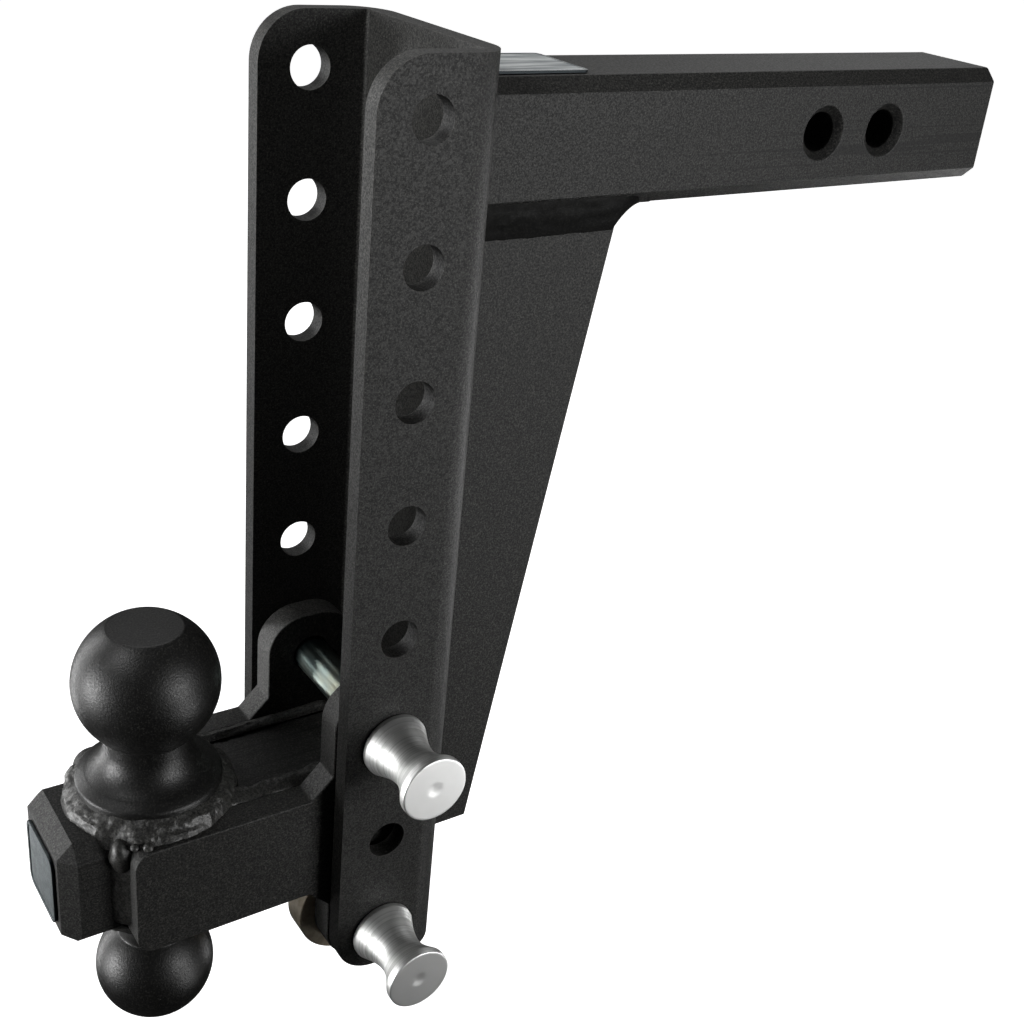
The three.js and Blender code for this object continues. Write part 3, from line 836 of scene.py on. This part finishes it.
def bead(bm, spine, across, rise, width, height, bulge=0.12, closed=False, tapered=True,
         ripple=0.012 * MM, pitch=2.4 * MM, lumps=0.35 * MM, wander=0.10, shrink=None):
    """A fillet of weld in the corner along a spine.

    across and rise give, at each spine point, the unit directions of the two faces that it joins.
    Noise makes its edges wander and lays streaks along it, with faint ripples across, as the pool
    froze. shrink gives, at each spine point, how much of the full height is left.
    """
    total = sum((b - a).length for a, b in zip(spine, spine[1:]))
    travelled = 0
    rings = []
    cap = 0.8 * min(width, height)
    for i, root in enumerate(spine):
        travelled += (root - spine[i - 1]).length if i else 0
        inset = min(travelled, total - travelled)
        whole = closed or not tapered or inset >= cap
        full = 1 if whole else math.sqrt(max(0.04, 1 - (1 - inset / cap) ** 2))
        left = shrink[i] if shrink else 1
        sideways, upward = across[i], rise[i]
        outward = (sideways + upward).normalized()
        wander_a = 1 + wander * sum(noise.noise(root * often) for often in WELD_WANDERS)
        wander_b = 1 + wander * sum(noise.noise(root * often + Z * 7) for often in WELD_WANDERS)
        ring = [bm.verts.new(root - (sideways + upward) * WELD_SINK)]
        for k in range(WELD_FACE_STEPS + 1):
            t = k / WELD_FACE_STEPS
            lobe = math.sin(math.pi * t)
            crest = math.sin(2 * math.pi * (travelled / pitch + lobe + 0.6 * noise.noise(root * 90)))
            point = root + sideways * (width * wander_a * (1 - t) * full - WELD_SINK * t)
            point += upward * (height * left * wander_b * t * full - WELD_SINK * (1 - t))
            streak = sum(
                size * noise.noise(root * often + Z * (drift * t)) for size, often, drift in WELD_STREAKS
            )
            blobs = sum(size * noise.noise(point * often) for size, often in WELD_BLOBS)
            lump = lumps * (streak + blobs) * (0.2 + 0.8 * lobe)
            swell = bulge * min(width, height) * lobe + ripple * crest * lobe
            ring.append(bm.verts.new(point + outward * (swell + lump) * full * left))
        rings.append(ring)
    pairs = list(zip(rings, rings[1:])) + ([(rings[-1], rings[0])] if closed else [])
    for first, second in pairs:
        for i in range(len(first)):
            j = (i + 1) % len(first)
            bm.faces.new((first[i], first[j], second[j], second[i]))
    if not closed:
        bm.faces.new(rings[0])
        bm.faces.new(reversed(rings[-1]))


def straight_bead(node, start, end, across, rise, width, height, material=None, **looks):
    spine = line(start, end)
    bm = bmesh.new()
    bead(bm, spine, [across] * len(spine), [rise] * len(spine), width, height, **looks)
    piece = mesh_object(f"{node}_bead", bm)
    smooth(piece, WELD_SMOOTH_DEGREES)
    stand_for(piece, node, material)


DROP_LUMPS_PER_M = 260
DROP_LUMPS_APART = 900


def drop(bm, centre, radius, squash=0.75, lumps=0.35):
    """A drop of weld metal: a lumpy ball, its height scaled by squash."""
    made = bmesh.ops.create_icosphere(bm, subdivisions=3, radius=radius)
    for vert in made["verts"]:
        lump = 1 + lumps * noise.noise(vert.co * DROP_LUMPS_PER_M + centre * DROP_LUMPS_APART)
        vert.co = centre + Vector((vert.co.x, vert.co.y, vert.co.z * squash)) * lump


def make_ball_weld(node, foot, width, height, face_z, up, drops=()):
    """The bead round a ball's foot. It sags over the block's edge, in front of the cheeks.

    drops lists spatter as (angle round the foot in degrees, distance out, fall, radius).
    """
    count = round(2 * math.pi * foot / WELD_STEP)
    directions = []
    for i in range(count):
        angle = 2 * math.pi * i / count
        directions.append(Vector((math.cos(angle), math.sin(angle), 0)))
    spine = [Vector((ball_x, 0, face_z)) + d * foot for d in directions]
    rise = [Z * up] * count
    bm = bmesh.new()
    bead(
        bm, spine, directions, rise, width, height,
        bulge=0.2, closed=True, lumps=1.25 * MM, wander=0.16,
    )
    edge = block.size.y / 2 - BLOCK_CHAMFER
    sag_start, sag_run, most_sag = cheek["near"].lo.x + 3 * MM, 5 * MM, 3.5 * MM
    for vert in bm.verts:
        beyond = max(0, abs(vert.co.y) - edge)
        ahead = min(1, max(0, (sag_start - vert.co.x) / sag_run))
        outside = max(0, Vector((vert.co.x - ball_x, vert.co.y)).length - foot)
        vert.co.z -= up * ahead * min(beyond, most_sag) * min(1, outside / width)
    for angle, reach, fall, radius in drops:
        a = math.radians(angle)
        centre = Vector((ball_x + reach * math.cos(a), reach * math.sin(a), face_z - up * fall))
        drop(bm, centre, radius)
    piece = mesh_object(f"{node}_bead", bm)
    smooth(piece, WELD_SMOOTH_DEGREES)
    stand_for(piece, node, coarse_lit_weld_coat)


def make_ball_welds():
    spatter = [(-119, 37 * MM, 0, 1.9 * MM), (-111, 37.5 * MM, -0.4 * MM, 2.3 * MM)]
    make_ball_weld("weld_ball_top", TOP_BALL["foot"], 6.2 * MM, 7.5 * MM, block.hi.z, 1, spatter)
    make_ball_weld("weld_ball_bottom", BOTTOM_BALL["foot"], 5 * MM, 5 * MM, block.lo.z, -1)


def make_shank_channel_weld():
    """Up the near side of the shank, over its top and down the far side, against the web."""
    half = shank.size.z / 2
    x = channel.hi.x
    flat = half - BAR_CHAMFER
    corners = [(-half, -flat), (-half, flat), (-flat, half), (flat, half), (half, flat), (half, -flat)]
    spine, across = [], []
    for (y0, z0), (y1, z1) in zip(corners, corners[1:]):
        points = line(Vector((x, y0, z0)), Vector((x, y1, z1)))
        outward = Vector((0, -(z1 - z0), y1 - y0)).normalized()
        spine += points if not spine else points[1:]
        across += [outward] * (len(points) if not across else len(points) - 1)
    soft = 8
    eased_across = []
    for i in range(len(across)):
        nearby = across[max(0, i - soft):i + soft + 1]
        eased_across.append(sum(nearby, Vector()).normalized())
    bm = bmesh.new()
    bead(bm, spine, eased_across, [X] * len(spine), 5.6 * MM, 5.6 * MM, bulge=0.05)
    piece = mesh_object("weld_shank_channel_bead", bm)
    smooth(piece, WELD_SMOOTH_DEGREES)
    stand_for(piece, "weld_shank_channel")


def heel_hollow(x):
    """How much of the under-shank weld's height is left at x: it falls away past the gusset's heel."""
    toe = Box("weld_gusset_heel").hi.x - gusset.hi.x
    early, least = 0.2, 0.02
    share = min(1, max(0, (x - gusset.hi.x) / toe + early))
    return max(least, (1 - share) ** 2)


def make_long_welds(where, side):
    """The bead under the shank beside the gusset, and the one up the gusset's front edge."""
    heel = Box("weld_gusset_heel")
    under = shank.lo.z
    gusset_y = gusset.size.y / 2 * side
    start_x = channel.hi.x + 7.5 * MM
    drop_down = heel.size.z
    reach = Vector((0, (shank.size.y - gusset.size.y) / 2 - 0.8 * MM, BAR_CHAMFER - 0.7 * MM))
    along_chamfer = Vector((0, reach.y * side, reach.z)).normalized()
    spine = line(Vector((start_x, gusset_y, under)), Vector((heel.hi.x, gusset_y, under)))
    count = len(spine)
    bm = bmesh.new()
    bead(
        bm, spine, [along_chamfer] * count, [-Z] * count, reach.length, drop_down,
        bulge=0.06, tapered=False, wander=0.03, shrink=[heel_hollow(point.x) for point in spine],
    )
    name = f"weld_shank_gusset_{where}"
    piece = mesh_object(f"{name}_bead", bm)
    smooth(piece, WELD_SMOOTH_DEGREES)
    stand_for(piece, name)
    low = Vector((channel.hi.x, gusset_y, gusset.lo.z + 2 * MM))
    high = Vector((channel.hi.x, gusset_y, gusset.hi.z - drop_down - 1 * MM))
    straight_bead(f"weld_channel_gusset_{where}", low, high, X, Y * side, 6 * MM, 6 * MM, bulge=0.08)


def make_cheek_welds(where, side):
    """Beads in the grooves over and under a cheek's arm, and up its front edge."""
    outward = Y * side
    edge = block.size.y / 2
    flat = edge - BLOCK_CHAMFER
    start_x = cheek[where].lo.x + 2 * MM
    end_x = block.hi.x - BLOCK_CHAMFER - 1 * MM
    for name, face_z, up in (("top", block.hi.z, 1), ("bottom", block.lo.z, -1)):
        depth = BLOCK_CHAMFER
        root_y, root_z = edge * side, face_z - up * depth
        sloping = Vector((0, (flat - edge) * side, up * depth)).normalized()
        chamfer_face = depth * math.sqrt(2)
        start, end = Vector((start_x, root_y, root_z)), Vector((end_x, root_y, root_z))
        straight_bead(
            f"weld_cheek_{name}_{where}", start, end, sloping, Z * up, 1.25 * chamfer_face, 1.05 * depth,
            coarse_lit_weld_coat, bulge=0.38, lumps=0.8 * MM,
        )
    reach = block.size.z / 2 - BLOCK_CHAMFER - 1 * MM
    spine = line(
        Vector((cheek[where].lo.x, edge * side, block.centre.z - reach)),
        Vector((cheek[where].lo.x, edge * side, block.centre.z + reach)),
    )
    bm = bmesh.new()
    bead(bm, spine, [-X] * len(spine), [outward] * len(spine), 6.4 * MM, 6.4 * MM, bulge=0.05)
    top_blob = spine[-1] + (outward - X) * 1.6 * MM + Z * MM
    drop(bm, top_blob, 5 * MM, squash=1.5, lumps=0.2)
    piece = mesh_object(f"weld_cheek_front_{where}_bead", bm)
    smooth(piece, WELD_SMOOTH_DEGREES)
    stand_for(piece, f"weld_cheek_front_{where}", coarse_lit_weld_coat)


def make_heel_weld():
    """The hollow fillet that closes the gusset's heel against the shank."""
    box = Box("weld_gusset_heel")
    lean = (gusset.hi.x - gusset.lo.x - GUSSET_FOOT_LENGTH) / gusset.size.z
    depth = 0.7 * box.size.z
    toe = box.hi.x - gusset.hi.x
    root = Vector((gusset.hi.x, 0, shank.lo.z))
    half = gusset.size.y / 2
    spine = line(root - Y * half, root + Y * half)
    down = Vector((-lean, 0, -1)).normalized()
    bm = bmesh.new()
    count = len(spine)
    bead(bm, spine, [X] * count, [down] * count, toe, depth, bulge=-0.28, tapered=False, wander=0.03)
    piece = mesh_object("weld_gusset_heel_bead", bm)
    smooth(piece, WELD_SMOOTH_DEGREES)
    stand_for(piece, "weld_gusset_heel")


# ---------------------------------------------------------------- light, floor and camera

def area_light(name, direction, distance, width, height, power, aim=None, spread_degrees=180):
    """A soft box at a distance from a point of the object, by default its centre, facing it."""
    target = aim or (cad_box[0] + cad_box[1]) / 2
    data = bpy.data.lights.new(name, "AREA")
    data.shape = "RECTANGLE"
    data.size = width
    data.size_y = height
    data.energy = power
    data.spread = math.radians(spread_degrees)
    light = bpy.data.objects.new(name, data)
    light.visible_camera = False
    bpy.context.collection.objects.link(light)
    away = Vector(direction)
    light.location = target + away.normalized() * distance
    light.rotation_mode = "QUATERNION"
    light.rotation_quaternion = (-away).to_track_quat("-Z", "Y")
    return light


def flagged_off(light, names):
    """The light doesn't reach the named pieces, as if a flag stood between them."""
    hidden = bpy.data.collections.new(f"{light.name}_flag")
    for name in names:
        hidden.objects.link(bpy.data.objects[name])
    light.light_linking.receiver_collection = hidden
    for member in hidden.collection_objects:
        member.light_linking.link_state = "EXCLUDE"


def make_lights():
    """Directions are from the object to the light, distances and sizes in metres, powers in watts."""
    ball_mount = Vector((ball_x, 0, block.centre.z))
    channel_top = Vector((channel.lo.x, 0, channel.hi.z))
    heel_welds = ["weld_gusset_heel_bead", "weld_shank_gusset_near_bead"]
    left = area_light(
        "left_soft_box", (-0.95, 0.28, -0.06), distance=0.7, width=0.42, height=0.42,
        power=0.88, aim=ball_mount, spread_degrees=45,
    )
    flagged_off(left, ["channel_plate"])
    top_front = area_light(
        "top_front_box", (-0.87, -0.05, 0.48), distance=0.42, width=0.15, height=0.15,
        power=0.5, aim=channel_top, spread_degrees=70,
    )
    flagged_off(top_front, ["knob_upper_spool", "knob_lower_spool", "pin_upper_rod", "pin_lower_rod"])
    area_light("far_left_strip", (-0.54, 0.80, -0.08), distance=1.5, width=0.30, height=1.9, power=17)
    area_light("right_soft_box", (0.42, -0.89, 0.12), distance=1.5, width=0.6, height=0.7, power=14)
    area_light("back_soft_box", (0.72, 0.45, 0.50), distance=1.8, width=0.8, height=0.8, power=2.5)
    area_light("overhead_soft_box", (0.2, 0.5, 0.84), distance=1.8, width=1.4, height=1.2, power=9)
    low = area_light("low_fill", (0.5, -0.72, -0.45), distance=1.5, width=0.6, height=0.5, power=5.5)
    flagged_off(low, heel_welds)
    bend = area_light("bend_strip", (0.90, 0.05, -0.30), distance=1.5, width=0.3, height=0.8, power=7)
    flagged_off(bend, heel_welds)


def make_world():
    """White behind the object, and dark to everything but the camera."""
    world = bpy.data.worlds.new("studio")
    world.use_nodes = True
    tree = world.node_tree
    background = tree.nodes["Background"]
    path = tree.nodes.new("ShaderNodeLightPath")
    brightness = tree.nodes.new("ShaderNodeMapRange")
    brightness.inputs["To Min"].default_value = 0.02
    brightness.inputs["To Max"].default_value = 1.0
    tree.links.new(path.outputs["Is Camera Ray"], brightness.inputs["Value"])
    tree.links.new(brightness.outputs["Result"], background.inputs["Strength"])
    background.inputs["Color"].default_value = (1, 1, 1, 1)
    bpy.context.scene.world = world


def make_floor():
    """A plain pale floor under the object, which doesn't light it from below."""
    material, tree, shader = node_material("floor_white")
    shader.inputs["Base Color"].default_value = (0.8, 0.8, 0.8, 1)
    shader.inputs["Roughness"].default_value = 1
    shader.inputs["Emission Color"].default_value = (1, 1, 1, 1)
    shader.inputs["Emission Strength"].default_value = 1.0
    half = 14
    bm = bmesh.new()
    corners = [(-half, -half), (half, -half), (half, half), (-half, half)]
    depth = cad_box[0].z - 60 * MM
    bm.faces.new([bm.verts.new((x, y, depth)) for x, y in corners])
    floor = mesh_object("floor", bm)
    floor.data.materials.append(material)
    floor.visible_glossy = False
    floor.visible_diffuse = False


VIEW_AZIMUTH = math.radians(53.78)
VIEW_ELEVATION = math.radians(-26.63)
VIEW_ROLL = math.radians(5.90)
LENS_MM = 48.86
FROM_CHANNEL_TOP = Vector((-0.2240, -0.4517, 0.0720))


def make_camera():
    """Placed from the channel's top front edge."""
    data = bpy.data.cameras.new("camera")
    data.lens = LENS_MM
    data.clip_start = 0.01
    data.clip_end = 100
    camera = bpy.data.objects.new("camera", data)
    bpy.context.collection.objects.link(camera)
    level = math.cos(VIEW_ELEVATION)
    forward = Vector((
        level * math.cos(VIEW_AZIMUTH), level * math.sin(VIEW_AZIMUTH), math.sin(VIEW_ELEVATION),
    ))
    turn = Matrix.Rotation(-VIEW_ROLL, 3, forward) @ forward.to_track_quat("-Z", "Y").to_matrix()
    place = Vector((channel.lo.x, 0, channel.hi.z)) + FROM_CHANNEL_TOP
    camera.matrix_world = Matrix.Translation(place) @ turn.to_4x4()
    bpy.context.scene.camera = camera


# ---------------------------------------------------------------- the object

make_camera()
make_shank()
make_channel()
make_gusset()
make_block()
make_nameplate()
make_front_plate()
make_spacer()
make_ball("ball_top", TOP_BALL, Z)
make_ball("ball_bottom", BOTTOM_BALL, -Z)
make_ball_welds()
make_shank_channel_weld()
make_heel_weld()
for where, side in (("near", -1), ("far", 1)):
    make_cheek(where)
    make_long_welds(where, side)
    make_cheek_welds(where, side)
for where in ("upper", "lower"):
    make_pin(where)
    make_knob(where)
    make_clip(where)
make_lights()
make_world()
make_floor()
bpy.context.scene.view_settings.view_transform = "Standard"
